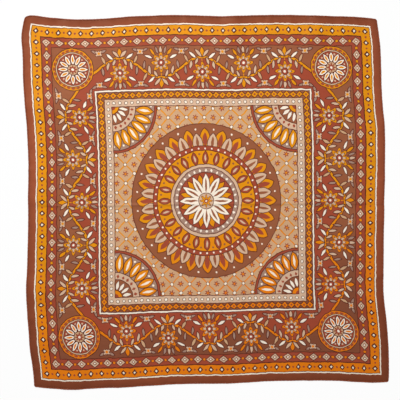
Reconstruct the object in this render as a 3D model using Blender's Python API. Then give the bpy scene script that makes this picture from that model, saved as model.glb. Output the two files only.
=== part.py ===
"""Silk square scarf, laid out flat with its face up.

One square of silk twill, and the four hand-rolled hems that its raw edges are turned into. The cloth rests on
its flat underside. Low ripples run in from the hems where the cloth is a little slack, and the corners lift.

Metres, +Z up. +X runs along the bottom edge and +Y up the side edges. The origin is the centre of the scarf's
box, on the surface that it lies on.
"""

import math
from collections import namedtuple

import bmesh
import bpy
from mathutils import Vector

MM = 0.001

# Driving dimensions. The square is cut to about 900 mm, and lies a little narrower than it is tall, because
# fine twill pulls off square along the bias.
CLOTH_THICKNESS = 1.0 * MM  # the wall that stands for the fine twill
HEM_WIDTH = 3.2 * MM  # a rolled hem's width on the surface
HEM_HEIGHT = 2.4 * MM
SEAM_GAP = 0.3 * MM  # between a hem and the cloth, and between two hems at a corner
HEM_SIDES = 8
CELLS = 50  # cells of the cloth, and stations of a hem, along each side

# Where the four corners lie, before the scarf is centred.
CORNERS = {
    "bottom_left": Vector((-424.0, -458.0)) * MM,
    "bottom_right": Vector((455.0, -446.5)) * MM,
    "top_left": Vector((-446.5, 459.5)) * MM,
    "top_right": Vector((425.5, 454.5)) * MM,
}

# How far each edge bows out from the straight line between its corners. The share runs along the edge, from the
# left on the bottom and top edges and from the bottom on the side edges. Minus is drawn in.
Bow = namedtuple("Bow", "share out_mm")
BOWS = {
    "bottom": (Bow(0.0, 0.0), Bow(0.03, 3.8), Bow(0.10, 8.8), Bow(0.19, 6.1), Bow(0.26, 5.2), Bow(0.34, 0.4),
               Bow(0.44, -1.6), Bow(0.55, -1.2), Bow(0.65, -5.6), Bow(0.85, -4.7), Bow(0.95, 1.3), Bow(1.0, 0.0)),
    "top": (Bow(0.0, 0.0), Bow(0.015, 4.2), Bow(0.04, 2.8), Bow(0.08, -1.5), Bow(0.14, -4.1), Bow(0.20, -3.2),
            Bow(0.31, 3.5), Bow(0.42, 8.0), Bow(0.57, 5.8), Bow(0.67, 9.0), Bow(0.77, 9.7), Bow(0.86, 7.3),
            Bow(0.91, 7.0), Bow(0.97, 3.9), Bow(1.0, 0.0)),
    "left": (Bow(0.0, 0.0), Bow(0.04, 2.7), Bow(0.10, 8.8), Bow(0.16, 12.2), Bow(0.24, 15.1), Bow(0.33, 11.2),
             Bow(0.42, 7.0), Bow(0.52, 4.3), Bow(0.61, 2.0), Bow(0.72, 4.4), Bow(0.82, 9.7), Bow(0.90, 9.9),
             Bow(0.95, 11.2), Bow(0.98, 5.9), Bow(1.0, 0.0)),
    "right": (Bow(0.0, 0.0), Bow(0.03, 2.3), Bow(0.10, 3.2), Bow(0.16, 0.9), Bow(0.23, -4.6), Bow(0.33, -2.0),
              Bow(0.48, 3.7), Bow(0.58, 8.8), Bow(0.68, 11.5), Bow(0.80, 7.2), Bow(0.86, 7.7), Bow(0.94, 6.1),
              Bow(1.0, 0.0)),
}
BOW_FADE = 3.0  # how soon a bow dies out towards the opposite edge, as a power of the distance left

# Ripples run in from an edge where the cloth is slack. The slant is from square to the edge, towards its far end.
Ripple = namedtuple("Ripple", "edge share slant_deg reach_mm width_mm height_mm")
RIPPLES = (
    Ripple("bottom", 0.11, 24, 150, 90, 4.2),
    Ripple("bottom", 0.34, -12, 190, 100, 5.0),
    Ripple("bottom", 0.62, 10, 160, 84, 4.4),
    Ripple("bottom", 0.89, -28, 120, 76, 3.4),
    Ripple("top", 0.09, 30, 130, 84, 4.0),
    Ripple("top", 0.30, 14, 180, 96, 4.8),
    Ripple("top", 0.60, -16, 140, 80, 3.6),
    Ripple("top", 0.84, -20, 160, 92, 4.4),
    Ripple("left", 0.10, 22, 140, 86, 3.8),
    Ripple("left", 0.27, -14, 170, 96, 5.0),
    Ripple("left", 0.51, 8, 120, 70, 2.6),
    Ripple("left", 0.75, 12, 180, 104, 4.6),
    Ripple("right", 0.21, 18, 160, 92, 5.2),
    Ripple("right", 0.46, -10, 190, 100, 3.6),
    Ripple("right", 0.71, -24, 150, 88, 4.8),
    Ripple("right", 0.91, 16, 110, 74, 3.0),
)

# Each corner lifts towards its tip. A corner is given by its shares of the width and of the height.
Corner = namedtuple("Corner", "across up reach_mm height_mm")
CORNER_LIFTS = (
    Corner(0.0, 0.0, 75, 5.0),
    Corner(1.0, 0.0, 60, 3.0),
    Corner(0.0, 1.0, 90, 7.0),
    Corner(1.0, 1.0, 65, 4.0),
)

# The scarf is kept folded in four, and shows a low ridge along both middle folds, which dies out near the hems.
Fold = namedtuple("Fold", "width_mm height_mm")
FOLD_ACROSS = Fold(14, 1.2)
FOLD_UP = Fold(14, 0.6)
FOLD_END = 8  # how sharply a fold dies out near its ends, as a power


def bow(edge, share):
    """How far an edge bows out at a share of its length: a smooth curve through the rows of its table."""
    rows = BOWS[edge]
    row = next(index for index in range(len(rows) - 1) if share <= rows[index + 1].share)
    before, start, end, after = rows[max(row - 1, 0)], rows[row], rows[row + 1], rows[min(row + 2, len(rows) - 1)]
    length = end.share - start.share
    slope_in = (end.out_mm - before.out_mm) / (end.share - before.share) * length
    slope_out = (after.out_mm - start.out_mm) / (after.share - start.share) * length
    t = (share - start.share) / length
    height = (2 * t**3 - 3 * t**2 + 1) * start.out_mm + (3 * t**2 - 2 * t**3) * end.out_mm
    return (height + (t**3 - 2 * t**2 + t) * slope_in + (t**3 - t**2) * slope_out) * MM


def outward(start, end, inside):
    """The level direction square to the line from start to end that points away from the inside."""
    along = (CORNERS[end] - CORNERS[start]).normalized()
    across = Vector((along.y, -along.x))
    return across if across.dot(CORNERS[start] - CORNERS[inside]) > 0 else -across


OUTWARD = {
    "bottom": outward("bottom_left", "bottom_right", "top_left"),
    "top": outward("top_left", "top_right", "bottom_left"),
    "left": outward("bottom_left", "top_left", "bottom_right"),
    "right": outward("bottom_right", "top_right", "bottom_left"),
}


def width_at(up):
    """The straight width from the left corner line to the right one, at a share of the height."""
    left = CORNERS["bottom_left"].lerp(CORNERS["top_left"], up)
    return (CORNERS["bottom_right"].lerp(CORNERS["top_right"], up) - left).length


def height_at(across):
    """The straight height from the bottom corner line to the top one, at a share of the width."""
    bottom = CORNERS["bottom_left"].lerp(CORNERS["bottom_right"], across)
    return (CORNERS["top_left"].lerp(CORNERS["top_right"], across) - bottom).length


def level_place(across, up):
    """Where a point of the square lies on the surface, by its shares of the width and the height."""
    bottom = CORNERS["bottom_left"].lerp(CORNERS["bottom_right"], across)
    top = CORNERS["top_left"].lerp(CORNERS["top_right"], across)
    place = bottom.lerp(top, up)
    for edge, share, away in (("bottom", across, up), ("top", across, 1 - up),
                              ("left", up, across), ("right", up, 1 - across)):
        place = place + OUTWARD[edge] * bow(edge, share) * (1 - away) ** BOW_FADE
    return place


def hump(offset, width):
    """A smooth ridge across its width: 1 on its line, 0 from half its width on."""
    return math.cos(math.pi * offset / width) ** 2 if abs(offset) < width / 2 else 0.0


def lift(across, up):
    """How high the underside of the cloth stands over the surface that it lies on."""
    wide, tall = width_at(up) / MM, height_at(across) / MM
    from_edge = {  # distance along the edge, distance in from it and the edge's length, in millimetres
        "bottom": (across * wide, up * tall, wide),
        "top": (across * wide, (1 - up) * tall, wide),
        "left": (up * tall, across * wide, tall),
        "right": (up * tall, (1 - across) * wide, tall),
    }
    heights = [0.0]
    for fold, along, beside in ((FOLD_ACROSS, across, (up - 0.5) * tall), (FOLD_UP, up, (across - 0.5) * wide)):
        heights.append(fold.height_mm * hump(beside, fold.width_mm) * (1 - abs(2 * along - 1) ** FOLD_END))
    for ripple in RIPPLES:
        along, inwards, length = from_edge[ripple.edge]
        if inwards < ripple.reach_mm:
            ridge = ripple.share * length + inwards * math.tan(math.radians(ripple.slant_deg))
            heights.append(
                ripple.height_mm * hump(along - ridge, ripple.width_mm) * hump(inwards, 2 * ripple.reach_mm)
            )
    for corner in CORNER_LIFTS:
        away = math.hypot((across - corner.across) * wide, (up - corner.up) * tall)
        heights.append(corner.height_mm * max(0.0, 1 - away / corner.reach_mm) ** 2)
    return max(heights) * MM


def centre_of_outline():
    """The middle of the box round the four edges, which becomes the origin."""
    shares = [step / CELLS for step in range(CELLS + 1)]
    outline = [level_place(*pair) for s in shares for pair in ((s, 0.0), (s, 1.0), (0.0, s), (1.0, s))]
    low = Vector((min(p.x for p in outline), min(p.y for p in outline)))
    high = Vector((max(p.x for p in outline), max(p.y for p in outline)))
    return (low + high) / 2


CENTRE = centre_of_outline()


def laid(across, up, above=0.0):
    """The place in space of a point of the square, that far above the underside of the cloth there."""
    level = level_place(across, up) - CENTRE
    return Vector((level.x, level.y, lift(across, up) + above))


def silk(name, colour, roughness):
    """A printed silk finish."""
    material = bpy.data.materials.new(name)
    material.use_nodes = True
    shader = material.node_tree.nodes["Principled BSDF"]
    shader.inputs["Base Color"].default_value = (*colour, 1.0)
    shader.inputs["Roughness"].default_value = roughness
    shader.inputs["Metallic"].default_value = 0.0
    return material


def add_object(name, mesh, material):
    """Links a mesh to the scene as a named, smooth-shaded object."""
    mesh.materials.append(material)
    mesh.shade_smooth()
    obj = bpy.data.objects.new(name, mesh)
    bpy.context.scene.collection.objects.link(obj)
    return obj


def drawn_to_fold(step, fold, size):
    """The share of a grid line. The lines next to the middle are drawn in to the foot of the fold there."""
    from_middle = step - CELLS // 2
    if abs(from_middle) == 1:
        return 0.5 + from_middle * fold.width_mm * MM / 2 / size
    return step / CELLS


def make_cloth(material):
    """The square of twill inside the hems: a grid laid over the ripples, thickened upwards."""
    inset = HEM_WIDTH + SEAM_GAP
    sheet = bmesh.new()
    bmesh.ops.create_grid(sheet, x_segments=CELLS, y_segments=CELLS, size=CELLS / 2)
    for vert in sheet.verts:
        across = drawn_to_fold(round(vert.co.x + CELLS / 2), FOLD_UP, width_at(0.5))
        up = drawn_to_fold(round(vert.co.y + CELLS / 2), FOLD_ACROSS, height_at(0.5))
        side, rise = inset / width_at(up), inset / height_at(across)
        vert.co = laid(side + across * (1 - 2 * side), rise + up * (1 - 2 * rise))
    mesh = bpy.data.meshes.new("silk_square")
    sheet.to_mesh(mesh)
    sheet.free()
    obj = add_object("silk_square", mesh, material)
    wall = obj.modifiers.new("wall", "SOLIDIFY")
    wall.thickness = CLOTH_THICKNESS
    wall.offset = 1.0
    wall.use_even_offset = True
    wall.use_quality_normals = True
    return obj


def hem_section():
    """A rolled hem's section: distances in from the edge, and heights. It is flat where it rests."""
    half_side = math.pi / HEM_SIDES
    turns = [half_side * (2 * side + 1) for side in range(HEM_SIDES)]
    return [
        (HEM_WIDTH / 2 * (1 + math.cos(turn) / math.cos(half_side)),
         HEM_HEIGHT / 2 * (1 + math.sin(turn) / math.cos(half_side)))
        for turn in turns
    ]


def hem_place(edge, share, inwards, above):
    """A point of a hem. The hem's ends are cut on the slant that meets its neighbour at the corner."""
    length, depth = height_at(0.5), width_at(0.5)
    if edge in ("bottom", "top"):
        length, depth = depth, length
    mitre = (inwards + SEAM_GAP / math.sqrt(2)) / length
    along, away = mitre + share * (1 - 2 * mitre), inwards / depth
    across, up = {
        "bottom": (along, away),
        "top": (along, 1 - away),
        "left": (away, along),
        "right": (1 - away, along),
    }[edge]
    return laid(across, up, above)


def make_hem(edge, material):
    """One rolled hem: its section bridged from station to station, and closed at both mitred ends."""
    roll = bmesh.new()
    section = hem_section()
    rings = []
    for station in range(CELLS + 1):
        share = station / CELLS
        ring = [roll.verts.new(hem_place(edge, share, inwards, above)) for inwards, above in section]
        rings.append([roll.edges.new((ring[side - 1], ring[side])) for side in range(HEM_SIDES)])
    for near, far in zip(rings, rings[1:]):
        bmesh.ops.bridge_loops(roll, edges=near + far)
    bmesh.ops.holes_fill(roll, edges=rings[0] + rings[-1], sides=HEM_SIDES)
    bmesh.ops.recalc_face_normals(roll, faces=roll.faces)
    mesh = bpy.data.meshes.new(f"hem_{edge}")
    roll.to_mesh(mesh)
    roll.free()
    return add_object(f"hem_{edge}", mesh, material)


def main():
    for obj in list(bpy.data.objects):
        bpy.data.objects.remove(obj)
    make_cloth(silk("printed_twill", (0.42, 0.14, 0.07), 0.5))
    rolled = silk("rolled_edge", (0.33, 0.09, 0.05), 0.5)
    for edge in BOWS:
        make_hem(edge, rolled)


main()
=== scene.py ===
import math
from collections import namedtuple

import bmesh
import bpy
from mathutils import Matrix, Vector, noise


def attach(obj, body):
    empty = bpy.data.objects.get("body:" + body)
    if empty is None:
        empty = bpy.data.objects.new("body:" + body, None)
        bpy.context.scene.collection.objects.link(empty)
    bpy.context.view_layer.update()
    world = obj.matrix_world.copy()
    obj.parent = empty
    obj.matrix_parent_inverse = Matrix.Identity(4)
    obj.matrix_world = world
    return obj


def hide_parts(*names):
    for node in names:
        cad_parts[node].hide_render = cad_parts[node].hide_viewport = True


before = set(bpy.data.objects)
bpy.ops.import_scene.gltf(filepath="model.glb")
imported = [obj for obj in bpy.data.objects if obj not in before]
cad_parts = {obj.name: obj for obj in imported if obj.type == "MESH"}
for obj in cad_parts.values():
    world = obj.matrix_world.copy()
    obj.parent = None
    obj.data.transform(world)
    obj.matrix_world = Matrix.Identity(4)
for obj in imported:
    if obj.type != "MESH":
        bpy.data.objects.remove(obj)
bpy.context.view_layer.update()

# -----------------------------------------------------------------------------------------------------------
# The view. The camera stands straight above the scarf, which lies flat, and fits the square picture to it.
# -----------------------------------------------------------------------------------------------------------
MM = 0.001  # a millimetre in metres
LENS = 85
FILM = 36  # the width of the film behind the lens, in the lens's millimetres
PIXELS, PIXEL = 400, 2.486  # the picture's width, and the millimetres of floor that a pixel takes in
PICTURE = PIXELS * PIXEL * MM
PICTURE_X, PICTURE_Y = -13.0 * MM, 5.7 * MM  # the middle of it, from the scarf's

camera = bpy.data.objects.new("camera", bpy.data.cameras.new("camera"))
camera.data.lens = LENS
camera.data.sensor_width = FILM
camera.location = (PICTURE_X, PICTURE_Y, PICTURE * LENS / FILM)
bpy.context.scene.collection.objects.link(camera)
bpy.context.scene.camera = camera

# -----------------------------------------------------------------------------------------------------------
# The silk square. One piece of fine printed silk twill, cut to 900 mm, laid out flat with its face up. It has
# pulled a little off square, ripples run in from its slack edges, and its two folds have left creases.
# -----------------------------------------------------------------------------------------------------------
CUT = 900.0  # the side of the square as it is cut and printed, in millimetres

# Where the four corners lie, before the scarf is centred.
CORNERS = {
    "bottom_left": Vector((-424.0, -458.0)) * MM,
    "bottom_right": Vector((455.0, -446.5)) * MM,
    "top_left": Vector((-446.5, 459.5)) * MM,
    "top_right": Vector((425.5, 454.5)) * MM,
}

# How far each edge bows out from the straight line between its corners, at shares of its length.
Bow = namedtuple("Bow", "share out_mm")
BOWS = {
    "bottom": (Bow(0.0, 0.0), Bow(0.03, 3.8), Bow(0.10, 8.8), Bow(0.19, 6.1), Bow(0.26, 5.2), Bow(0.34, 0.4),
               Bow(0.44, -1.6), Bow(0.55, -1.2), Bow(0.65, -5.6), Bow(0.85, -4.7), Bow(0.95, 1.3),
               Bow(1.0, 0.0)),
    "top": (Bow(0.0, 0.0), Bow(0.015, 4.2), Bow(0.04, 2.8), Bow(0.08, -1.5), Bow(0.14, -4.1), Bow(0.20, -3.2),
            Bow(0.31, 3.5), Bow(0.42, 8.0), Bow(0.57, 5.8), Bow(0.67, 9.0), Bow(0.77, 9.7), Bow(0.86, 7.3),
            Bow(0.91, 7.0), Bow(0.97, 3.9), Bow(1.0, 0.0)),
    "left": (Bow(0.0, 0.0), Bow(0.04, 2.7), Bow(0.10, 8.8), Bow(0.16, 12.2), Bow(0.24, 15.1), Bow(0.33, 11.2),
             Bow(0.42, 7.0), Bow(0.52, 4.3), Bow(0.61, 2.0), Bow(0.72, 4.4), Bow(0.82, 9.7), Bow(0.90, 9.9),
             Bow(0.95, 11.2), Bow(0.98, 5.9), Bow(1.0, 0.0)),
    "right": (Bow(0.0, 0.0), Bow(0.03, 2.3), Bow(0.10, 3.2), Bow(0.16, 0.9), Bow(0.23, -4.6), Bow(0.33, -2.0),
              Bow(0.48, 3.7), Bow(0.58, 8.8), Bow(0.68, 11.5), Bow(0.80, 7.2), Bow(0.86, 7.7), Bow(0.94, 6.1),
              Bow(1.0, 0.0)),
}
BOW_FADE = 3.0  # how soon a bow dies out towards the opposite edge, as a power of the distance left
TIP_RADIUS = 5.0  # millimetres: the rolls make the four tips a little blunt

# Low ripples run in from the edges where the cloth is slack, and puckers where the hem is sewn a little
# tight. The slant is from square to the edge.
Ripple = namedtuple("Ripple", "edge share slant_deg reach_mm width_mm height_mm")
RIPPLES = (
    Ripple("bottom", 0.11, 24, 150, 90, 4.2),
    Ripple("bottom", 0.34, -12, 190, 100, 5.0),
    Ripple("bottom", 0.62, 10, 160, 84, 4.4),
    Ripple("bottom", 0.89, -28, 120, 76, 3.4),
    Ripple("top", 0.09, 30, 130, 84, 4.0),
    Ripple("top", 0.30, 14, 180, 96, 4.8),
    Ripple("top", 0.60, -16, 140, 80, 3.6),
    Ripple("top", 0.84, -20, 160, 92, 4.4),
    Ripple("left", 0.10, 22, 140, 86, 3.8),
    Ripple("left", 0.27, -14, 170, 96, 5.0),
    Ripple("left", 0.51, 8, 120, 70, 2.6),
    Ripple("left", 0.75, 12, 180, 104, 4.6),
    Ripple("right", 0.21, 18, 160, 92, 5.2),
    Ripple("right", 0.46, -10, 190, 100, 3.6),
    Ripple("right", 0.71, -24, 150, 88, 4.8),
    Ripple("right", 0.91, 16, 110, 74, 3.0),
)
PUCKERS = (
    Ripple("bottom", 0.045, 10, 46, 20, 1.1),
    Ripple("bottom", 0.17, -22, 60, 24, 1.2),
    Ripple("bottom", 0.235, 6, 38, 16, 0.8),
    Ripple("bottom", 0.41, 18, 52, 20, 1.0),
    Ripple("bottom", 0.47, -8, 34, 15, 0.7),
    Ripple("bottom", 0.545, 12, 66, 26, 1.3),
    Ripple("bottom", 0.70, -16, 44, 18, 0.9),
    Ripple("bottom", 0.775, 4, 56, 22, 1.2),
    Ripple("bottom", 0.955, -30, 40, 18, 0.9),
    Ripple("top", 0.035, -14, 42, 18, 0.9),
    Ripple("top", 0.165, 10, 58, 22, 1.1),
    Ripple("top", 0.215, -6, 36, 15, 0.8),
    Ripple("top", 0.385, 20, 48, 20, 1.0),
    Ripple("top", 0.46, -12, 64, 25, 1.3),
    Ripple("top", 0.525, 8, 34, 15, 0.7),
    Ripple("top", 0.70, -20, 52, 21, 1.1),
    Ripple("top", 0.755, 5, 40, 17, 0.8),
    Ripple("top", 0.935, 24, 46, 19, 1.0),
    Ripple("left", 0.05, 12, 40, 17, 0.9),
    Ripple("left", 0.185, -18, 62, 24, 1.3),
    Ripple("left", 0.345, 8, 44, 18, 0.9),
    Ripple("left", 0.40, -10, 36, 15, 0.8),
    Ripple("left", 0.585, 16, 56, 22, 1.2),
    Ripple("left", 0.655, -6, 42, 17, 0.9),
    Ripple("left", 0.845, 22, 50, 20, 1.0),
    Ripple("left", 0.93, -12, 34, 15, 0.7),
    Ripple("right", 0.06, -16, 44, 18, 1.0),
    Ripple("right", 0.135, 8, 36, 15, 0.7),
    Ripple("right", 0.295, -10, 60, 24, 1.2),
    Ripple("right", 0.36, 14, 40, 17, 0.8),
    Ripple("right", 0.555, -20, 54, 21, 1.1),
    Ripple("right", 0.62, 6, 38, 16, 0.8),
    Ripple("right", 0.80, 12, 58, 23, 1.2),
    Ripple("right", 0.965, -8, 36, 16, 0.8),
)

# Each corner lifts towards its tip. A corner is given by its shares of the width and of the height.
Corner = namedtuple("Corner", "across up reach_mm height_mm")
CORNER_LIFTS = (
    Corner(0.0, 0.0, 75, 5.0),
    Corner(1.0, 0.0, 60, 3.0),
    Corner(0.0, 1.0, 90, 7.0),
    Corner(1.0, 1.0, 65, 4.0),
)

# The scarf is kept folded in four. Each fold has left a sharp low crest, which dies out near the hems. The
# one across was made last, through all the layers, so it is the sharper, and it missed the middle by 9 mm.
Fold = namedtuple("Fold", "off_middle_mm width_mm height_mm")
FOLD_ACROSS = Fold(-9.0, 14, 1.9)
FOLD_UP = Fold(0.0, 14, 0.8)
FOLD_END = 8  # how sharply a fold dies out near its ends, as a power
FOLD_EDGE = 1.7  # how sharp its crest is, as a power

# Soft swells of the slack cloth between the ripples, and the finest puckers, beside the hems only. In
# millimetres.
SWELL_SIZE, SWELL_HEIGHT = 95, 0.9
SWELL_BIAS = 0.12  # above 0, the swells take up more than half of the cloth
CRINKLE_SIZE, CRINKLE_HEIGHT, CRINKLE_REACH = 17, 1.7, 56
CRINKLE_LAYER = Vector((0.0, 0.0, 3.7))  # another layer of the noise than the swells'


def bow(edge, share):
    """How far an edge bows out at a share of its length: a smooth curve through the rows of its table."""
    rows = BOWS[edge]
    share = min(max(share, 0.0), 1.0)
    row = next(index for index in range(len(rows) - 1) if share <= rows[index + 1].share)
    start, end = rows[row], rows[row + 1]
    before, after = rows[max(row - 1, 0)], rows[min(row + 2, len(rows) - 1)]
    length = end.share - start.share
    slope_in = (end.out_mm - before.out_mm) / (end.share - before.share) * length
    slope_out = (after.out_mm - start.out_mm) / (after.share - start.share) * length
    t = (share - start.share) / length
    height = (2 * t**3 - 3 * t**2 + 1) * start.out_mm + (3 * t**2 - 2 * t**3) * end.out_mm
    return (height + (t**3 - 2 * t**2 + t) * slope_in + (t**3 - t**2) * slope_out) * MM


def outward(start, end, inside):
    """The level direction square to the line from start to end that points away from the inside."""
    along = (CORNERS[end] - CORNERS[start]).normalized()
    across = Vector((along.y, -along.x))
    return across if across.dot(CORNERS[start] - CORNERS[inside]) > 0 else -across


OUTWARD = {
    "bottom": outward("bottom_left", "bottom_right", "top_left"),
    "top": outward("top_left", "top_right", "bottom_left"),
    "left": outward("bottom_left", "top_left", "bottom_right"),
    "right": outward("bottom_right", "top_right", "bottom_left"),
}


def width_at(up):
    """The straight width from the left corner line to the right one, at a share of the height."""
    left = CORNERS["bottom_left"].lerp(CORNERS["top_left"], up)
    return (CORNERS["bottom_right"].lerp(CORNERS["top_right"], up) - left).length


def height_at(across):
    """The straight height from the bottom corner line to the top one, at a share of the width."""
    bottom = CORNERS["bottom_left"].lerp(CORNERS["bottom_right"], across)
    return (CORNERS["top_left"].lerp(CORNERS["top_right"], across) - bottom).length


def blunted(across, up):
    """The shares of a point once the tip that it may be near is rounded off."""
    wide, tall = width_at(up) / MM, height_at(across) / MM
    beside = 1 - min(across, 1 - across) * wide / TIP_RADIUS
    above = 1 - min(up, 1 - up) * tall / TIP_RADIUS
    if min(beside, above) <= 0:
        return across, up
    pull = TIP_RADIUS * (1 - max(beside, above) / math.hypot(beside, above))
    return (across + math.copysign(beside * pull / wide, 0.5 - across),
            up + math.copysign(above * pull / tall, 0.5 - up))


def level_place(across, up):
    """Where a point of the square lies on the surface, by its shares of the width and the height."""
    bottom = CORNERS["bottom_left"].lerp(CORNERS["bottom_right"], across)
    top = CORNERS["top_left"].lerp(CORNERS["top_right"], across)
    place = bottom.lerp(top, up)
    for edge, share, away in (("bottom", across, up), ("top", across, 1 - up),
                              ("left", up, across), ("right", up, 1 - across)):
        place = place + OUTWARD[edge] * bow(edge, share) * (1 - away) ** BOW_FADE
    return place


def hump(offset, width):
    """A smooth ridge across its width: 1 on its line, 0 from half its width on."""
    return math.cos(math.pi * offset / width) ** 2 if abs(offset) < width / 2 else 0.0


def run_of(ripple, from_edge):
    """The height of one ripple at a place that is given by its distances along and in from each edge."""
    along, inwards, length = from_edge[ripple.edge]
    if inwards >= ripple.reach_mm:
        return 0.0
    ridge = ripple.share * length + inwards * math.tan(math.radians(ripple.slant_deg))
    return ripple.height_mm * hump(along - ridge, ripple.width_mm) * hump(inwards, 2 * ripple.reach_mm)


def lift(across, up):
    """How high the underside of the cloth stands over the surface that it lies on."""
    wide, tall = width_at(up) / MM, height_at(across) / MM
    from_edge = {
        "bottom": (across * wide, up * tall, wide),
        "top": (across * wide, (1 - up) * tall, wide),
        "left": (up * tall, across * wide, tall),
        "right": (up * tall, (1 - across) * wide, tall),
    }
    heights = [0.0]
    for fold, along, beside in ((FOLD_ACROSS, across, (up - 0.5) * tall),
                                (FOLD_UP, up, (across - 0.5) * wide)):
        crest = max(0.0, 1 - abs(beside - fold.off_middle_mm) * 2 / fold.width_mm) ** FOLD_EDGE
        heights.append(fold.height_mm * crest * (1 - abs(2 * along - 1) ** FOLD_END))
    for corner in CORNER_LIFTS:
        away = math.hypot((across - corner.across) * wide, (up - corner.up) * tall)
        heights.append(corner.height_mm * max(0.0, 1 - away / corner.reach_mm) ** 2)
    heights += [run_of(ripple, from_edge) for ripple in RIPPLES]
    small = sum(run_of(pucker, from_edge) for pucker in PUCKERS)
    level = Vector((across * wide, up * tall, 0.0))
    swell = SWELL_HEIGHT * max(0.0, noise.noise(level / SWELL_SIZE) + SWELL_BIAS)
    inwards = min(distance for _, distance, _ in from_edge.values())
    crinkle = CRINKLE_HEIGHT * max(0.0, 1 - inwards / CRINKLE_REACH) ** 2
    crinkle *= 0.5 + noise.noise(level / CRINKLE_SIZE + CRINKLE_LAYER)
    return max(0.0, max(heights) + small + swell + crinkle) * MM


OUTLINE_STEPS = 50  # as many as the solid has along each side, so that both get the same middle


def centre_of_outline():
    """The middle of the box round the four edges, which is the origin."""
    shares = [step / OUTLINE_STEPS for step in range(OUTLINE_STEPS + 1)]
    outline = [level_place(*pair) for s in shares for pair in ((s, 0.0), (s, 1.0), (0.0, s), (1.0, s))]
    low = Vector((min(p.x for p in outline), min(p.y for p in outline)))
    high = Vector((max(p.x for p in outline), max(p.y for p in outline)))
    return (low + high) / 2


CENTRE = centre_of_outline()


def laid(across, up, above=0.0):
    """The place in space of a point of the square, that far above the underside of the cloth there."""
    level = level_place(*blunted(across, up)) - CENTRE
    return Vector((level.x, level.y, lift(across, up) + above))


# The cloth is drawn thicker than fine twill, 0.35 mm, so that its two faces stay apart. Its raw edge ends
# inside the hem roll. The grid is closest beside the hems, where the puckers are, and at the two folds.
CLOTH_UNDER, CLOTH_TOP = 0.10 * MM, 0.45 * MM
CLOTH_INSET = 1.7  # millimetres, as are the grid's sizes
FINE_CELL, FINE_REACH = 3.2, 74.0
PLAIN_CELLS = 152
FOLD_LINES = (-7.0, -3.5, -1.5, 0.0, 1.5, 3.5, 7.0)  # the lines at a fold, from its crest
FOLD_ROOM = 8.5  # how far the other lines stay from the crest


def grid_shares(fold):
    """The places of the grid's lines along the side that a fold crosses, as shares of the cut cloth."""
    fine = [CLOTH_INSET + step * FINE_CELL for step in range(round(FINE_REACH / FINE_CELL))]
    start, end = fine[-1] + FINE_CELL, CUT - fine[-1] - FINE_CELL
    plain = [start + (end - start) * step / PLAIN_CELLS for step in range(PLAIN_CELLS + 1)]
    crest = CUT / 2 + fold.off_middle_mm
    plain = [line for line in plain if abs(line - crest) > FOLD_ROOM]
    lines = fine + plain + [crest + line for line in FOLD_LINES] + [CUT - line for line in fine]
    return [line / CUT for line in sorted(lines)]


# A second map of its own, "OFBake", lays the cloth out for baking its print. The face of the cloth takes the
# left of it, and the back the right, as shares of its width. Between them each cut edge has a narrow column.
BAKED_FACE, BAKED_BACK = 0.70, 0.28
BAKED_EDGES, EDGE_STEP, EDGE_WIDTH = 0.703, 0.004, 0.002
ON_EDGE = 0.003  # a point that is nearer to a side than this share of the cloth lies on the cut edge


def make_square():
    """The cloth: a grid laid over the ripples and extruded up to its face, as one closed shell."""
    columns, rows = grid_shares(FOLD_UP), grid_shares(FOLD_ACROSS)
    last_column, last_row = len(columns) - 1, len(rows) - 1
    cloth = bmesh.new()
    across = cloth.verts.layers.float.new("across")
    up = cloth.verts.layers.float.new("up")
    print_map = cloth.loops.layers.uv.new("cloth")
    bake_map = cloth.loops.layers.uv.new("OFBake")
    bmesh.ops.create_grid(cloth, x_segments=last_column, y_segments=last_row, size=0.5)
    for vert in cloth.verts:
        vert[across] = columns[round((vert.co.x + 0.5) * last_column)]
        vert[up] = rows[round((vert.co.y + 0.5) * last_row)]
    under = cloth.faces[:]
    raised = bmesh.ops.extrude_face_region(cloth, geom=under, use_keep_orig=True)["geom"]
    face_verts = {item for item in raised if isinstance(item, bmesh.types.BMVert)}
    face_faces = {
        item for item in raised
        if isinstance(item, bmesh.types.BMFace) and len(face_verts.intersection(item.verts)) == 4
    }
    for vert in cloth.verts:
        vert.co = laid(vert[across], vert[up], CLOTH_TOP if vert in face_verts else CLOTH_UNDER)
    bmesh.ops.recalc_face_normals(cloth, faces=cloth.faces)
    under = set(under)
    for face in cloth.faces:
        face.smooth = True
        face.material_index = 1 if face in under else 0
        for corner in face.loops:
            place = Vector((corner.vert[across], corner.vert[up]))
            corner[print_map].uv = place
            if face in face_faces:
                corner[bake_map].uv = (place.x * BAKED_FACE, place.y)
            elif face in under:
                corner[bake_map].uv = (1 - BAKED_BACK + place.x * BAKED_BACK, place.y)
            else:
                side, run = place.yx
                if min(place.x, 1 - place.x) < ON_EDGE:
                    side, run = place
                column = BAKED_EDGES + EDGE_STEP * (2 * (side > 0.5) + (side == place.y))
                corner[bake_map].uv = (column + EDGE_WIDTH * (corner.vert in face_verts), run)
    mesh = bpy.data.meshes.new("printed_twill_square")
    cloth.to_mesh(mesh)
    cloth.free()
    square = bpy.data.objects.new("printed_twill_square", mesh)
    bpy.context.scene.collection.objects.link(square)
    return square


def linear(code):
    """An sRGB hex colour as the linear colour that a shader takes."""
    parts = [int(code[start:start + 2], 16) / 255 for start in (1, 3, 5)]
    return (*(part / 12.92 if part <= 0.04045 else ((part + 0.055) / 1.055) ** 2.4 for part in parts), 1.0)


def add(tree, kind, *inputs, **settings):
    """Adds a node with its settings. An input is a plain value, a socket, or a node, for its first output."""
    node = tree.nodes.new(kind)
    for name, value in settings.items():
        setattr(node, name, value)
    for socket, value in zip([socket for socket in node.inputs if socket.enabled], inputs):
        if isinstance(value, bpy.types.Node):
            value = next(output for output in value.outputs if output.enabled)
        if isinstance(value, bpy.types.NodeSocket):
            tree.links.new(value, socket)
        else:
            socket.default_value = value
    return node


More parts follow.
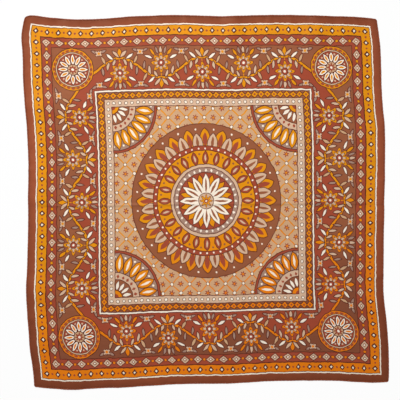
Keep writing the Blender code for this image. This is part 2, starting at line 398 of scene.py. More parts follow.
# The print, a screen-printed design of bands, a flowering vine and a wheel of petals round the middle. Each
# ink is laid through its own stencil over the ones before it, the dark ink first, as a fine outline. Places
# and sizes are in millimetres, from the middle of the cloth.
BRICK, DARK, MAUVE = linear("#a14933"), linear("#5f2a20"), linear("#a78574")
BEIGE, TAUPE, CREAM = linear("#cda37d"), linear("#d6b396"), linear("#f7e9d6")
OUTLINE = 1.8
WAVER, WAVER_LENGTH = 4.0, 14  # how far the noise could move an edge, and over what length

design = bpy.data.node_groups.new("screen_print", "ShaderNodeTree")
design.interface.new_socket("Place", in_out="INPUT", socket_type="NodeSocketVector")
design.interface.new_socket("Ink", in_out="OUTPUT", socket_type="NodeSocketColor")

# The hand that cut the stencils wavers by about half a millimetre, and so do the edges of the shapes.
place = add(design, "NodeGroupInput")
waver = add(design, "ShaderNodeTexNoise", place, 1 / WAVER_LENGTH, 1.0)
waver = add(design, "ShaderNodeVectorMath", waver.outputs["Color"], (0.5, 0.5, 0.5), operation="SUBTRACT")
place = add(design, "ShaderNodeVectorMath", waver, (WAVER, WAVER, 0.0), place, operation="MULTIPLY_ADD")
sides = add(design, "ShaderNodeSeparateXYZ", add(design, "ShaderNodeVectorMath", place, operation="ABSOLUTE"))
far = add(design, "ShaderNodeMath", sides.outputs["X"], sides.outputs["Y"], operation="MAXIMUM")
near = add(design, "ShaderNodeMath", sides.outputs["X"], sides.outputs["Y"], operation="MINIMUM")

# The orange is painted deeper and redder, and the brown darker, towards the foot of the cloth and its right:
# painted shade, where the light falls off. Each map range, here and below, starts with the places where its
# change of tone begins and is full.
foot = add(design, "ShaderNodeVectorMath", place, (0.25, -1, 0), operation="DOT_PRODUCT")
deeper = add(design, "ShaderNodeMapRange", foot, 20.0, 270.0, 0.0, 1.0)
ORANGE = add(design, "ShaderNodeMix", deeper, linear("#e19010"), linear("#e77d10"), data_type="RGBA")
deeper = add(design, "ShaderNodeMapRange", foot, 150.0, 290.0, 0.0, 1.0)
BROWN = add(design, "ShaderNodeMix", deeper, linear("#96593c"), linear("#864d36"), data_type="RGBA")

# The umber is painted paler down the two sides, most towards their top, and darker along the top and the
# foot:
# painted light and shade, as the light falls across the rim. It is painted lighter at its inner edge and
# darker out by the hems, as painted shade of the rolls, and darker in the two lower corners, as painted
# shade.
down_side = add(design, "ShaderNodeMath", sides.outputs["X"], sides.outputs["Y"], operation="SUBTRACT")
down_side = add(design, "ShaderNodeMapRange", down_side, -50.0, 350.0, 0.0, 1.0)
painted_side_light = add(design, "ShaderNodeSeparateXYZ", place).outputs["Y"]
painted_side_light = add(design, "ShaderNodeMapRange", painted_side_light, -340.0, 260.0, 0.0, 1.0)
painted_side_light = add(design, "ShaderNodeMath", painted_side_light, down_side, operation="MULTIPLY")
UMBER = add(design, "ShaderNodeMix", painted_side_light, linear("#84432b"), linear("#9f5235"), data_type="RGBA")
# Painted shade beside the hem rolls, and in the two lower corners towards the foot.
hem_shade = add(design, "ShaderNodeMapRange", far, 434.0, 446.0, 1.12, 0.94)
in_corner = add(design, "ShaderNodeMapRange", near, 150.0, 430.0, 0.0, 1.0)
at_foot = add(design, "ShaderNodeMapRange", foot, 100.0, 320.0, 0.0, -0.15)
painted_shade = add(design, "ShaderNodeMath", in_corner, at_foot, 1.0, operation="MULTIPLY_ADD")
painted_shade = add(design, "ShaderNodeMath", painted_shade, hem_shade, operation="MULTIPLY")
UMBER = add(design, "ShaderNodeVectorMath", UMBER, painted_shade, operation="SCALE")
layers = [BRICK]


def lay(ink, stencil):
    """Prints an ink where its stencil is open, over the inks that are there."""
    layers.append(add(design, "ShaderNodeMix", stencil, layers[-1], ink, data_type="RGBA"))


def lay_within(ink, distance, size, outline=OUTLINE):
    """Prints what lies within a distance, over its outline in the dark ink if it has one."""
    if outline:
        lay(DARK, add(design, "ShaderNodeMath", distance, size + outline, operation="LESS_THAN"))
    lay(ink, add(design, "ShaderNodeMath", distance, size, operation="LESS_THAN"))


def lay_band(ink, low, high, outline=OUTLINE):
    """Prints a straight band round the square, by its distances from the middle."""
    middle, half = (low + high) / 2, (high - low) / 2
    if outline:
        lay(DARK, add(design, "ShaderNodeMath", far, middle, half + outline, operation="COMPARE"))
    lay(ink, add(design, "ShaderNodeMath", far, middle, half, operation="COMPARE"))


def lay_dot(ink, at, x, y, radius, outline=0):
    """Prints a round dot or disc."""
    away = add(design, "ShaderNodeVectorMath", at, (x, y, 0), operation="DISTANCE")
    lay_within(ink, away, radius, outline)


def lay_leaf(ink, at, x, y, turn, half_length, half_width, outline=OUTLINE):
    """Prints a leaf or a petal: the lens that two arcs enclose."""
    own = add(design, "ShaderNodeMapping", at, (x, y, 0), (0, 0, math.radians(turn)), vector_type="TEXTURE")
    folded = add(design, "ShaderNodeVectorMath", own, operation="ABSOLUTE")
    sink = (half_length**2 - half_width**2) / (2 * half_width)
    away = add(design, "ShaderNodeVectorMath", folded, (0, -sink, 0), operation="DISTANCE")
    lay_within(ink, away, sink + half_width, outline)


def lay_lozenge(ink, at, x, y, half_width, half_height, outline=0):
    """Prints a lozenge that stands on its point."""
    own = add(design, "ShaderNodeVectorMath", at, (x, y, 0), operation="SUBTRACT")
    own = add(design, "ShaderNodeVectorMath", own, operation="ABSOLUTE")
    size = half_width * half_height / math.hypot(half_width, half_height)
    slopes = (size / half_width, size / half_height, 0)
    lay_within(ink, add(design, "ShaderNodeVectorMath", own, slopes, operation="DOT_PRODUCT"), size, outline)


def lay_flower(ink, at, x, y, petals, inner, outer, outline=OUTLINE):
    """Prints a flower with round petals, between its inner and its outer radius."""
    own = add(design, "ShaderNodeVectorMath", at, (x, y, 0), operation="SUBTRACT")
    parts = add(design, "ShaderNodeSeparateXYZ", own)
    angle = add(design, "ShaderNodeMath", parts.outputs["Y"], parts.outputs["X"], operation="ARCTAN2")
    wave = add(design, "ShaderNodeMath", angle, petals, operation="MULTIPLY")
    wave = add(design, "ShaderNodeMath", wave, operation="COSINE")
    away = add(design, "ShaderNodeVectorMath", own, operation="LENGTH")
    away = add(design, "ShaderNodeMath", wave, (inner - outer) / 2, away, operation="MULTIPLY_ADD")
    lay_within(ink, away, (inner + outer) / 2, outline)


def in_row(pitch, start=0.0):
    """The place within a row of like motifs along a band, which meet in a mirror at each corner."""
    along = add(design, "ShaderNodeMath", near, start + pitch / 2, start - pitch / 2, operation="WRAP")
    along = add(design, "ShaderNodeMath", along, start, operation="SUBTRACT")
    return add(design, "ShaderNodeCombineXYZ", along, far)


def in_lattice(at, pitch, shift):
    """The place within a square lattice of like motifs, each at the middle of its cell."""
    low, middle, high = shift, shift + pitch / 2, shift + pitch
    own = add(design, "ShaderNodeVectorMath", at, (high, high, 1), (low, low, -1), operation="WRAP")
    return add(design, "ShaderNodeVectorMath", own, (middle, middle, 0), operation="SUBTRACT")


def in_wheel(at, count, turn=0.0):
    """The place turned into the first of a wheel's like sectors, or a part of a sector further on."""
    sector = 2 * math.pi / count
    start = turn * sector
    parts = add(design, "ShaderNodeSeparateXYZ", at)
    angle = add(design, "ShaderNodeMath", parts.outputs["Y"], parts.outputs["X"], operation="ARCTAN2")
    own = add(design, "ShaderNodeMath", angle, start + sector / 2, start - sector / 2, operation="WRAP")
    back = add(design, "ShaderNodeMath", angle, -1, own, operation="MULTIPLY_ADD")
    back = add(design, "ShaderNodeMath", back, start, operation="SUBTRACT")
    return add(design, "ShaderNodeVectorRotate", at, (0, 0, 0), back, rotation_type="Z_AXIS")


def from_corner(distance):
    """The place seen from the point at that distance out on both sides, the same in all four corners."""
    folded = add(design, "ShaderNodeVectorMath", place, operation="ABSOLUTE")
    return add(design, "ShaderNodeVectorMath", folded, (distance, distance, 0), operation="SUBTRACT")


# The middle field: an orange trellis on beige, with a bead where its lines cross and a brick blossom in each
# of its cells.
FIELD, TRELLIS = 231.6, 32.0
lay(BEIGE, add(design, "ShaderNodeMath", far, FIELD, operation="LESS_THAN"))
diagonal = add(design, "ShaderNodeVectorRotate", place, (0, 0, 0), math.pi / 4, rotation_type="Z_AXIS")
blossom = in_lattice(diagonal, TRELLIS, -TRELLIS / 2)
crossing = in_lattice(diagonal, TRELLIS, 0)
lines = add(design, "ShaderNodeVectorMath", crossing, operation="ABSOLUTE")
lines = add(design, "ShaderNodeSeparateXYZ", lines)
line = add(design, "ShaderNodeMath", lines.outputs["X"], lines.outputs["Y"], operation="MINIMUM")
lay_within(ORANGE, line, 1.5, 0)
lay_dot(CREAM, crossing, 0, 0, 3.4, 1.3)
lay_flower(BRICK, blossom, 0, 0, 6, 3.4, 7.8, 0)
lay_dot(ORANGE, blossom, 0, 0, 2.4)

# A fan in each corner of the field. The frame is laid over the parts of it that lie outside.
fan = add(design, "ShaderNodeVectorMath", from_corner(FIELD), operation="ABSOLUTE")
lay_dot(BRICK, fan, 0, 0, 112, OUTLINE)
lay_dot(MAUVE, fan, 0, 0, 106, OUTLINE)
petal = in_wheel(fan, 24, 0.5)
lay_leaf(ORANGE, petal, 82, 0, 0, 22, 9)
lay_leaf(CREAM, petal, 82, 0, 0, 15, 2.8, 0)
lay_dot(CREAM, in_wheel(fan, 24), 98, 0, 2.6)
lay_dot(TAUPE, fan, 0, 0, 59, OUTLINE)
lay_lozenge(BRICK, petal, 50.5, 0, 5, 3.6)
lay_dot(BROWN, fan, 0, 0, 42.5, OUTLINE)
lay_leaf(CREAM, in_wheel(fan, 16, 0.5), 29, 0, 0, 11, 3.6, 1.0)
lay_dot(ORANGE, fan, 0, 0, 16, OUTLINE)
lay_dot(BRICK, fan, 0, 0, 8)

# The wheel in the middle: two rows of petals round its rim, rings of lozenges and dots, and a daisy.
ray, between = in_wheel(place, 24), in_wheel(place, 24, 0.5)
lay_dot(BROWN, place, 0, 0, 188, OUTLINE)
lay_dot(CREAM, between, 176, 0, 2.3)
lay_leaf(ORANGE, ray, 150, 0, 0, 27, 13.5)
lay_leaf(BRICK, ray, 150, 0, 0, 18, 5.8, 0)
lay_leaf(TAUPE, between, 141, 0, 0, 25, 11.8)
lay_leaf(BROWN, between, 144, 0, 0, 16, 3.4, 0)
lay_dot(BRICK, place, 0, 0, 134, OUTLINE)
lay_dot(CREAM, in_wheel(place, 48), 128.5, 0, 2.3)
lay_dot(ORANGE, place, 0, 0, 123, OUTLINE)
lay_leaf(BRICK, ray, 105.5, 0, 0, 15, 6.5)
lay_leaf(TAUPE, ray, 105.5, 0, 0, 9, 2.5, 0)
lay_dot(BROWN, between, 115, 0, 2.4)
lay_dot(TAUPE, place, 0, 0, 89, OUTLINE)
lay_dot(MAUVE, place, 0, 0, 81, OUTLINE)
lay_lozenge(CREAM, in_wheel(place, 32), 75, 0, 4.2, 3.2)
lay_dot(BRICK, place, 0, 0, 69, OUTLINE)
lay_leaf(ORANGE, in_wheel(place, 12, 0.5), 41, 0, 0, 24.5, 8)
petal = in_wheel(place, 12)
lay_leaf(CREAM, petal, 38, 0, 0, 28, 8.5)
lay_leaf(BROWN, petal, 38, 0, 0, 18, 2.7, 0)
lay_dot(TAUPE, place, 0, 0, 18.5, OUTLINE)
lay_flower(ORANGE, place, 0, 0, 8, 7, 14.5)
lay_dot(BRICK, place, 0, 0, 5.4)
lay_dot(CREAM, place, 0, 0, 2.4)

# The frame round the field: a band of beads, a band of joined lozenges and a cream line. The border starts
# beyond it. The pitch of a row is a whole part of its distance out, so that a motif falls on each corner.
BEADS, LOZENGES, BORDER = 241.4, 259.4, 274
lay_band(TAUPE, 233, 249.8)
bead = in_row(BEADS / 16)
lay_dot(DARK, bead, 0, BEADS, 4.4)
lay_dot(CREAM, bead, 0, BEADS, 3.2)
lay_band(BROWN, 251.2, 267.8, 0)
link = in_row(LOZENGES / 16)
lay_lozenge(ORANGE, link, 0, LOZENGES, 8.1, 7.2, OUTLINE)
lay_dot(BRICK, link, 0, LOZENGES, 2.3)
lay_band(CREAM, 269, 272.5)
lay(BRICK, add(design, "ShaderNodeMath", far, BORDER, operation="GREATER_THAN"))

# The broad border: a vine that winds between brick and brown, with a flower and its leaves in every bay. The
# rise over the vine's line is divided by its steepness, so that its stem stays as wide all along.
VINE, SWING, BAY, STEM = 325.5, 25.0, 104.0, 5.2
bend = add(design, "ShaderNodeMath", near, math.pi / BAY, operation="MULTIPLY")
swing = add(design, "ShaderNodeMath", bend, operation="COSINE")
swing = add(design, "ShaderNodeMath", swing, SWING, operation="MULTIPLY")
rise = add(design, "ShaderNodeMath", far, VINE, operation="SUBTRACT")
stem = add(design, "ShaderNodeMath", rise, swing, operation="SUBTRACT")
lay(BROWN, add(design, "ShaderNodeMath", stem, 0, operation="GREATER_THAN"))
slope = add(design, "ShaderNodeMath", bend, operation="SINE")
slope = add(design, "ShaderNodeMath", slope, SWING * math.pi / BAY, operation="MULTIPLY")
steep = add(design, "ShaderNodeMath", slope, slope, 1, operation="MULTIPLY_ADD")
steep = add(design, "ShaderNodeMath", steep, operation="SQRT")
stem = add(design, "ShaderNodeMath", stem, steep, operation="DIVIDE")
stem = add(design, "ShaderNodeMath", stem, operation="ABSOLUTE")
lay_within(ORANGE, stem, STEM / 2)

# Every other bay is turned over. A bay is mirrored in its middle, so each leaf but those on its line is a
# pair. The last bay, where the rosette is, has no spray: all of it is put out of sight.
OUT_OF_SIGHT = 1000
own = add(design, "ShaderNodeMath", near, BAY / 2, -BAY / 2, operation="WRAP")
bay = add(design, "ShaderNodeMath", near, own, operation="SUBTRACT")
side = add(design, "ShaderNodeMath", bay, math.pi / BAY, operation="MULTIPLY")
side = add(design, "ShaderNodeMath", side, operation="COSINE")
own = add(design, "ShaderNodeMath", own, operation="ABSOLUTE")
rise = add(design, "ShaderNodeMath", rise, side, operation="MULTIPLY")
last = add(design, "ShaderNodeMath", near, 2.5 * BAY, operation="GREATER_THAN")
along = add(design, "ShaderNodeMath", last, OUT_OF_SIGHT, own, operation="MULTIPLY_ADD")
spray = add(design, "ShaderNodeCombineXYZ", along, rise)
lay_leaf(ORANGE, spray, 0, 8, 90, 18, 1.4, 0)
Leaf = namedtuple("Leaf", "x y turn half_length half_width ink")
for leaf in (
    Leaf(0, 38, 90, 11, 4.6, ORANGE),
    Leaf(9.5, 35, 48, 11, 3.2, TAUPE),
    Leaf(25, 29.5, 38, 10.5, 3.0, CREAM),
    Leaf(40.5, 21.5, 62, 10, 3.0, BEIGE),
    Leaf(14, 15, -66, 8.5, 2.8, TAUPE),
    Leaf(29, 6, -80, 10, 3.0, TAUPE),
    Leaf(42.5, -6.5, -96, 9.5, 2.7, MAUVE),
    Leaf(31, -26, -26, 10, 2.9, CREAM),
    Leaf(21.5, -37.5, -52, 10, 3.0, ORANGE),
    Leaf(0, -42, 90, 9, 3.2, TAUPE),
    Leaf(10.5, -41.5, -71, 8.5, 2.7, MAUVE),
):
    lay_leaf(leaf.ink, spray, leaf.x, leaf.y, leaf.turn, leaf.half_length, leaf.half_width)
FLOWER = -11
lay_flower(ORANGE, spray, 0, FLOWER, 8, 14, 24.5)
lay_flower(TAUPE, spray, 0, FLOWER, 8, 8.5, 16.5)
lay_dot(BRICK, spray, 0, FLOWER, 7, OUTLINE)
lay_dot(CREAM, spray, 0, FLOWER, 3.1)

# A small blossom with two leaves fills the bare ground on both sides of the vine, where two bays meet.
FILLER = 38.5
rise = add(design, "ShaderNodeMath", rise, operation="ABSOLUTE")
filler = add(design, "ShaderNodeCombineXYZ", own, rise)
lay_leaf(MAUVE, filler, 41.5, 43, -20, 8.5, 2.7)
lay_flower(TAUPE, filler, BAY / 2, FILLER, 5, 4.6, 9)
lay_dot(ORANGE, filler, BAY / 2, FILLER, 3.2)

# A rosette where the border turns each corner, on plain ground.
CORNER_GROUND = 336
lay(BROWN, add(design, "ShaderNodeMath", near, CORNER_GROUND, operation="GREATER_THAN"))
rosette = from_corner(VINE)
lay_dot(ORANGE, rosette, 0, 0, 51, OUTLINE)
lay_leaf(BRICK, in_wheel(rosette, 24), 46.5, 0, 90, 5.5, 2.4, 0)
lay_dot(TAUPE, rosette, 0, 0, 42, OUTLINE)
lay_dot(BRICK, rosette, 0, 0, 38.5, 1.2)
petal = in_wheel(rosette, 12)
lay_leaf(CREAM, petal, 24.5, 0, 0, 12.5, 4.5)
lay_leaf(ORANGE, petal, 24.5, 0, 0, 8, 2.2, 0)
lay_dot(TAUPE, in_wheel(rosette, 12, 0.5), 33, 0, 2.2)
lay_dot(BEIGE, rosette, 0, 0, 12.5, OUTLINE)
lay_flower(BRICK, rosette, 0, 0, 8, 5, 10.5, 1.0)
lay_dot(CREAM, rosette, 0, 0, 3.2)

# The outer bands: lozenges on brick, a chain on orange, a cream line, and a plain umber rim out to the hem.
GEMS, CHAIN, RIM = 390.0, 415.0, 430.5
lay_band(BRICK, 379, 401.5)
gem = in_row(GEMS / 12)
lay_lozenge(TAUPE, gem, 0, GEMS, 10.5, 8.5, OUTLINE)
lay_lozenge(BROWN, gem, 0, GEMS, 5.4, 4.4)
lay_lozenge(CREAM, gem, 0, GEMS, 2.8, 2.3)
lay_dot(ORANGE, in_row(GEMS / 12, GEMS / 24), 0, GEMS, 3.2, 1.0)
lay_band(ORANGE, 404, 426)
link = in_row(CHAIN / 15)
lay_lozenge(DARK, link, 0, CHAIN, 7.0, 8.0)
lay_lozenge(CREAM, link, 0, CHAIN, 3.0, 3.5)
lay_dot(BRICK, in_row(CHAIN / 15, CHAIN / 30), 0, CHAIN, 2.5)
lay(UMBER, add(design, "ShaderNodeMath", far, RIM, operation="GREATER_THAN"))
lay_band(CREAM, 427.5, RIM, 0)
add(design, "NodeGroupOutput", layers[-1])


# The twill's diagonal ribs lie 0.4 mm apart in the real cloth. They are drawn at 3 mm, so that they show.
RIB = 3.0
DIAGONAL_WAVE = 2 * math.pi / 10 / math.sqrt(2)  # a diagonal wave's scale is this over its spacing

# How far the dye's clouds, its streaks along the yarns and the patches of painted shade along the fold reach,
# in millimetres.
CLOUD, STREAK_LENGTH, STREAK_WIDTH, CREASE_SHADE_PATCH = 60, 40, 3, 35
CREASE_SHADE_WIDTH = 5.0  # how far the painted shade lies out from the crest of the fold


def silk(name, faded, roughness):
    """Printed silk twill: acid dyes soak in, and the smooth filaments give a soft low sheen, not a gloss."""
    material = bpy.data.materials.new(name)
    material.use_nodes = True
    tree = material.node_tree
    shader = tree.nodes["Principled BSDF"]
    cut = add(tree, "ShaderNodeUVMap", uv_map="cloth")
    at = add(
        tree, "ShaderNodeVectorMath", cut, (CUT, CUT, 0), (-CUT / 2, -CUT / 2, 0), operation="MULTIPLY_ADD"
    )
    ink = add(tree, "ShaderNodeGroup", at, node_tree=design)
    # The dye takes unevenly, in broad clouds and in fine streaks along the yarns.
    cloud = add(tree, "ShaderNodeTexNoise", at, 1 / CLOUD, 4.0, 0.6)
    cloud = add(tree, "ShaderNodeMapRange", cloud, 0.3, 0.7, 0.945, 1.055)
    yarns = (1 / STREAK_LENGTH, 1 / STREAK_WIDTH, 1)
    streak = add(tree, "ShaderNodeMapping", at, (0, 0, 0), (0, 0, 0), yarns, vector_type="POINT")
    streak = add(tree, "ShaderNodeTexNoise", streak, 1.0, 3.0)
    streak = add(tree, "ShaderNodeMapRange", streak, 0.25, 0.75, 0.96, 1.04)
    tone = add(tree, "ShaderNodeMath", cloud, streak, operation="MULTIPLY")
    # Along the crest of the sharper fold the ink is painted darker, more in some places than in others:
    # painted shade of the crease.
    off_fold = add(tree, "ShaderNodeVectorMath", at, (0, FOLD_ACROSS.off_middle_mm, 0), operation="SUBTRACT")
    off_fold = add(tree, "ShaderNodeSeparateXYZ", off_fold).outputs["Y"]
    off_fold = add(tree, "ShaderNodeMath", off_fold, operation="ABSOLUTE")
    crest = add(tree, "ShaderNodeMapRange", off_fold, 0.0, CREASE_SHADE_WIDTH, 1.0, 0.0)
    crease_shade = add(tree, "ShaderNodeTexNoise", at, 1 / CREASE_SHADE_PATCH, 2.0)
    crease_shade = add(tree, "ShaderNodeMapRange", crease_shade, 0.35, 0.65, 0.05, 0.26)
    crease_shade = add(tree, "ShaderNodeMath", crest, crease_shade, operation="MULTIPLY")
    crease_shade = add(tree, "ShaderNodeMath", 1.0, crease_shade, operation="SUBTRACT")
    tone = add(tree, "ShaderNodeMath", tone, crease_shade, operation="MULTIPLY")
    ink = add(tree, "ShaderNodeVectorMath", ink, tone, operation="SCALE")
    ink = add(tree, "ShaderNodeMix", faded, ink, CREAM, data_type="RGBA")
    tree.links.new(next(output for output in ink.outputs if output.enabled), shader.inputs["Base Color"])
    shader.inputs["Roughness"].default_value = roughness
    shader.inputs["IOR"].default_value = 1.54
    shader.inputs["Specular IOR Level"].default_value = 0.32
    shader.inputs["Specular Tint"].default_value = linear("#f0c0a0")
    shader.inputs["Sheen Weight"].default_value = 0.03
    shader.inputs["Sheen Tint"].default_value = linear("#e8a070")
    shader.inputs["Sheen Roughness"].default_value = 0.45
    scale = DIAGONAL_WAVE / RIB
    ribs = add(tree, "ShaderNodeTexWave", at, scale, 1.2, 2.0, 0.8, bands_direction="DIAGONAL")
    weave = add(tree, "ShaderNodeBump", 0.35, 0.10 * MM)
    tree.links.new(ribs.outputs["Fac"], weave.inputs["Height"])
    tree.links.new(weave.outputs["Normal"], shader.inputs["Normal"])
    return material


square = make_square()
square.data.materials.append(silk("screen_printed_silk_twill", 0.0, 0.38))
square.data.materials.append(silk("reverse_of_printed_silk", 0.22, 0.46))
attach(square, "root")
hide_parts("silk_square")

# -----------------------------------------------------------------------------------------------------------
# The hems. Each raw edge of the square is rolled over by hand into a cord about 3 mm across, plumper between
# the slip stitches that hold it. The rolls show the reverse of the cloth, whose umber is a little paler.
# -----------------------------------------------------------------------------------------------------------
HEM_WIDTH, HEM_HEIGHT = 3.2 * MM, 2.4 * MM
HEM_REST = 0.05 * MM  # the roll is pressed flat below, at this height, and sits down by as much
HEM_SIDES = 12
STITCHES = 100  # the spaces between the stitches along a hem
STITCH_STEP = 9.0  # millimetres from stitch to stitch
STATIONS_EACH = 5  # stations of a roll from one stitch to the next
DRAWN_IN, DRAWN_ALONG = 0.17, 1.6  # a stitch draws the roll in by this share, for this many millimetres
UNEVEN, UNEVEN_PLACES = 0.07, 60  # the share by which a roll's fullness strays, and in how many places
WELD = 0.01 * MM  # points that are nearer to each other than this become one


def hem_place(edge, share, inwards, above):
    """A point of a hem. The hem's ends are cut on the slant that meets its neighbour at the corner."""
    length, depth = height_at(0.5), width_at(0.5)
    if edge in ("bottom", "top"):
        length, depth = depth, length
    mitre = inwards / length
    along, away = mitre + share * (1 - 2 * mitre), inwards / depth
    across, up = {
        "bottom": (along, away),
        "top": (along, 1 - away),
        "left": (away, along),
        "right": (1 - away, along),
    }[edge]
    return laid(across, up, above)


def plumpness(edge, share):
    """How full the roll is at a share of its length: drawn in at its stitches, and uneven by hand."""
    to_end = min(share, 1 - share) * STITCHES
    own_noise = 7.3 * len(edge)  # a stretch of the noise for each edge, as their names differ in length
    hand = noise.noise(Vector((share * UNEVEN_PLACES, own_noise, 0.0))) * min(1.0, to_end)
    from_stitch = abs(share * STITCHES - round(share * STITCHES)) * STITCH_STEP
    return (1 + UNEVEN * hand) * (1 - DRAWN_IN * math.exp(-(from_stitch / DRAWN_ALONG) ** 2))


def make_hem(edge):
    """One roll: a grid wrapped round the hem's section, welded along its seam and closed at both ends."""
    stations = STITCHES * STATIONS_EACH
    roll = bmesh.new()
    roll.loops.layers.uv.new("roll")
    bmesh.ops.create_grid(roll, x_segments=stations, y_segments=HEM_SIDES, size=0.5, calc_uvs=True)
    for vert in roll.verts:
        share = min(1.0, max(0.0, vert.co.x + 0.5))
        turn = 2 * math.pi * (vert.co.y + 0.5)
        full = plumpness(edge, share)
        inwards = HEM_WIDTH / 2 * (1 + full * math.cos(turn))
        above = max(HEM_REST, HEM_HEIGHT / 2 * (1 + full * math.sin(turn)) - HEM_REST)
        vert.co = hem_place(edge, share, inwards, above)
    bmesh.ops.remove_doubles(roll, verts=roll.verts, dist=WELD)
    ends = [side for side in roll.edges if side.is_boundary]
    bmesh.ops.holes_fill(roll, edges=ends, sides=HEM_SIDES)
    bmesh.ops.recalc_face_normals(roll, faces=roll.faces)
    for face in roll.faces:
        face.smooth = len(face.verts) == 4
    mesh = bpy.data.meshes.new(f"rolled_hem_{edge}")
    roll.to_mesh(mesh)
    roll.free()
    hem = bpy.data.objects.new(f"rolled_hem_{edge}", mesh)
    bpy.context.scene.collection.objects.link(hem)
    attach(hem, "root")
    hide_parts(f"hem_{edge}")
    return hem


# The ribs of the twill wind slantwise round the roll. They are drawn at 1 mm, not 0.4, so that they show.
ROLL_RIB = 1.0 * MM


def rolled_silk():
    """The reverse of the umber-printed twill, rolled tight: its colour is worn a little paler in places."""
    material = bpy.data.materials.new("hand_rolled_silk_twill")
    material.use_nodes = True
    tree = material.node_tree
    shader = tree.nodes["Principled BSDF"]
    at = add(tree, "ShaderNodeTexCoord").outputs["Object"]
    worn = add(tree, "ShaderNodeTexNoise", at, 90.0, 3.0)
    worn = add(tree, "ShaderNodeMapRange", worn, 0.3, 0.7, 0.0, 1.0)
    ink = add(tree, "ShaderNodeMix", worn, linear("#84432c"), linear("#995036"), data_type="RGBA")
    tree.links.new(next(output for output in ink.outputs if output.enabled), shader.inputs["Base Color"])
    shader.inputs["Roughness"].default_value = 0.5
    shader.inputs["IOR"].default_value = 1.54
    shader.inputs["Specular IOR Level"].default_value = 0.25
    shader.inputs["Specular Tint"].default_value = linear("#f0c0a0")
    shader.inputs["Sheen Weight"].default_value = 0.05
    shader.inputs["Sheen Tint"].default_value = linear("#e8a070")
    shader.inputs["Sheen Roughness"].default_value = 0.45
    scale = DIAGONAL_WAVE / ROLL_RIB
    ribs = add(tree, "ShaderNodeTexWave", at, scale, 1.0, 2.0, 2.0, bands_direction="DIAGONAL")
    weave = add(tree, "ShaderNodeBump", 0.4, 0.08 * MM)
    tree.links.new(ribs.outputs["Fac"], weave.inputs["Height"])
    tree.links.new(weave.outputs["Normal"], shader.inputs["Normal"])
    return material


rolled = rolled_silk()
hems = [make_hem(edge) for edge in BOWS]
for hem in hems:
    hem.data.materials.append(rolled)

# -----------------------------------------------------------------------------------------------------------
# The slip stitches. One fine silk thread runs inside each roll, and comes out every 9 mm to catch the cloth
# in a short slanted stitch. The thread is drawn 0.4 mm thick, about three times the real one.
# -----------------------------------------------------------------------------------------------------------
THREAD_RADIUS = 0.2 * MM
THREAD_SIDES = 5
PLY = 0.5 * MM  # the two plies of the thread twist together once in this length
# How much a stitch strays by hand, as shares of the step to the next, of its length and of its reach inwards.
STRAY_PLACE, STRAY_LENGTH, STRAY_REACH = 0.10, 0.3, 0.06

# A stitch's path: distances along the hem, in from its edge, and above the underside of the cloth.
STITCH_PATH = (
    Vector((-1.1, 1.9, 1.9)) * MM,
    Vector((-0.7, 2.6, 2.0)) * MM,
    Vector((0.1, 3.3, 1.35)) * MM,
    Vector((0.7, 3.9, 0.75)) * MM,
    Vector((1.1, 4.3, 0.30)) * MM,
)

noise.seed_set(1)  # the stitches' unevenness is drawn from this seed, so it is the same each time


def make_stitches(edge):
    """All the stitches of one hem, each a short bent rod of thread closed at both ends."""
    length = width_at(0.5) if edge in ("bottom", "top") else height_at(0.5)
    threads = bmesh.new()
    threads.loops.layers.uv.new("thread")
    for number in range(1, STITCHES):
        hand = noise.noise_vector(Vector((number * 0.37, 2.1 * len(edge), 5.5)))  # its own for each stitch
        share = (number + STRAY_PLACE * hand.x) / STITCHES
        longer, deeper = 1 + STRAY_LENGTH * hand.y, 1 + STRAY_REACH * hand.z
        path = [
            hem_place(edge, share + point.x * longer / length, point.y * deeper, point.z)
            for point in STITCH_PATH
        ]
        rod = bmesh.ops.create_grid(
            threads, x_segments=len(path) - 1, y_segments=THREAD_SIDES, size=0.5, calc_uvs=True
        )["verts"]
        for vert in rod:
            knot = round((vert.co.x + 0.5) * (len(path) - 1))
            turn = 2 * math.pi * (vert.co.y + 0.5)
            ahead = (path[min(knot + 1, len(path) - 1)] - path[max(knot - 1, 0)]).normalized()
            beside = ahead.cross(Vector((0, 0, 1))).normalized()
            ring = beside * math.cos(turn) + beside.cross(ahead) * math.sin(turn)
            vert.co = path[knot] + ring * THREAD_RADIUS
    bmesh.ops.remove_doubles(threads, verts=threads.verts, dist=WELD)
    ends = [side for side in threads.edges if side.is_boundary]
    bmesh.ops.holes_fill(threads, edges=ends, sides=THREAD_SIDES)
    bmesh.ops.recalc_face_normals(threads, faces=threads.faces)
    for face in threads.faces:
        face.smooth = True
    mesh = bpy.data.meshes.new(f"slip_stitches_{edge}")
    threads.to_mesh(mesh)
    threads.free()
    stitches = bpy.data.objects.new(f"slip_stitches_{edge}", mesh)
    bpy.context.scene.collection.objects.link(stitches)
    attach(stitches, "root")
    return stitches


def silk_thread():
    """Spun silk sewing thread, dyed to match the umber rim, with a finer, brighter sheen than the cloth."""
    material = bpy.data.materials.new("spun_silk_thread")
    material.use_nodes = True
    tree = material.node_tree
    shader = tree.nodes["Principled BSDF"]
    at = add(tree, "ShaderNodeTexCoord").outputs["Object"]
    lot = add(tree, "ShaderNodeTexNoise", at, 60.0, 2.0)
    ink = add(tree, "ShaderNodeMix", lot, linear("#8a4630"), linear("#b0684a"), data_type="RGBA")
    tree.links.new(next(output for output in ink.outputs if output.enabled), shader.inputs["Base Color"])
    shader.inputs["Roughness"].default_value = 0.4
    shader.inputs["IOR"].default_value = 1.54
    shader.inputs["Sheen Weight"].default_value = 0.2
    plies = add(tree, "ShaderNodeTexWave", at, DIAGONAL_WAVE / PLY, 0.5, bands_direction="DIAGONAL")
    twist = add(tree, "ShaderNodeBump", 0.4, 0.05 * MM)
    tree.links.new(plies.outputs["Fac"], twist.inputs["Height"])
    tree.links.new(twist.outputs["Normal"], shader.inputs["Normal"])
    return material


thread = silk_thread()
stitches = [make_stitches(edge) for edge in BOWS]
for row in stitches:
    row.data.materials.append(thread)

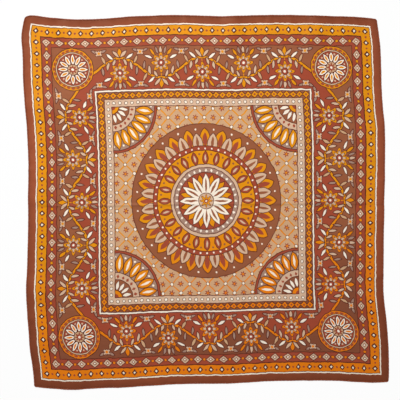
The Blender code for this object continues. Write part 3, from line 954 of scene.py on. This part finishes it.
# -----------------------------------------------------------------------------------------------------------
# The floor and the light: a plain white sweep, lit evenly from all round. A soft lamp beyond the upper edge
# slants across the ripples and shows them. One above the scarf evens its colours out, and its own reflection
# is left out, as behind a polarising filter.
# -----------------------------------------------------------------------------------------------------------
FLOOR_REACH, FLOOR_UNDER = 40.0, 0.3 * MM  # far enough to have no edge in view, and clear of the cloth

sweep = bmesh.new()
bmesh.ops.create_grid(sweep, x_segments=1, y_segments=1, size=FLOOR_REACH)
bmesh.ops.translate(sweep, verts=sweep.verts, vec=(0, 0, -FLOOR_UNDER))
floor_mesh = bpy.data.meshes.new("floor")
sweep.to_mesh(floor_mesh)
sweep.free()
floor = bpy.data.objects.new("floor", floor_mesh)
bpy.context.scene.collection.objects.link(floor)

paper = bpy.data.materials.new("matt_white_paper")
paper.use_nodes = True
shader = paper.node_tree.nodes["Principled BSDF"]
shader.inputs["Base Color"].default_value = linear("#4d4d4d")
shader.inputs["Roughness"].default_value = 0.9
shader.inputs["Specular IOR Level"].default_value = 0.1
shader.inputs["Emission Color"].default_value = linear("#ffffff")
shader.inputs["Emission Strength"].default_value = 0.92
floor_mesh.materials.append(paper)

LAMP_SIZE = 1.0
Lamp = namedtuple("Lamp", "name energy place reflects")
for kind in (
    Lamp("slanting_lamp", 13.5, Vector((-0.45, 1.3, 1.5)), True),
    Lamp("overhead_lamp", 14.0, Vector((-0.17, 0.3, 1.5)), False),
):
    lamp = bpy.data.objects.new(kind.name, bpy.data.lights.new(kind.name, "AREA"))
    lamp.data.shape = "DISK"
    lamp.data.size = LAMP_SIZE
    lamp.data.energy = kind.energy
    lamp.location = kind.place
    lamp.rotation_euler = (-kind.place).to_track_quat("-Z", "Y").to_euler()
    lamp.visible_glossy = kind.reflects
    bpy.context.scene.collection.objects.link(lamp)

world = bpy.data.worlds.new("pale_room")
world.use_nodes = True
world.node_tree.nodes["Background"].inputs["Color"].default_value = linear("#ffffff")
world.node_tree.nodes["Background"].inputs["Strength"].default_value = 0.26
bpy.context.scene.world = world
bpy.context.scene.view_settings.view_transform = "Standard"
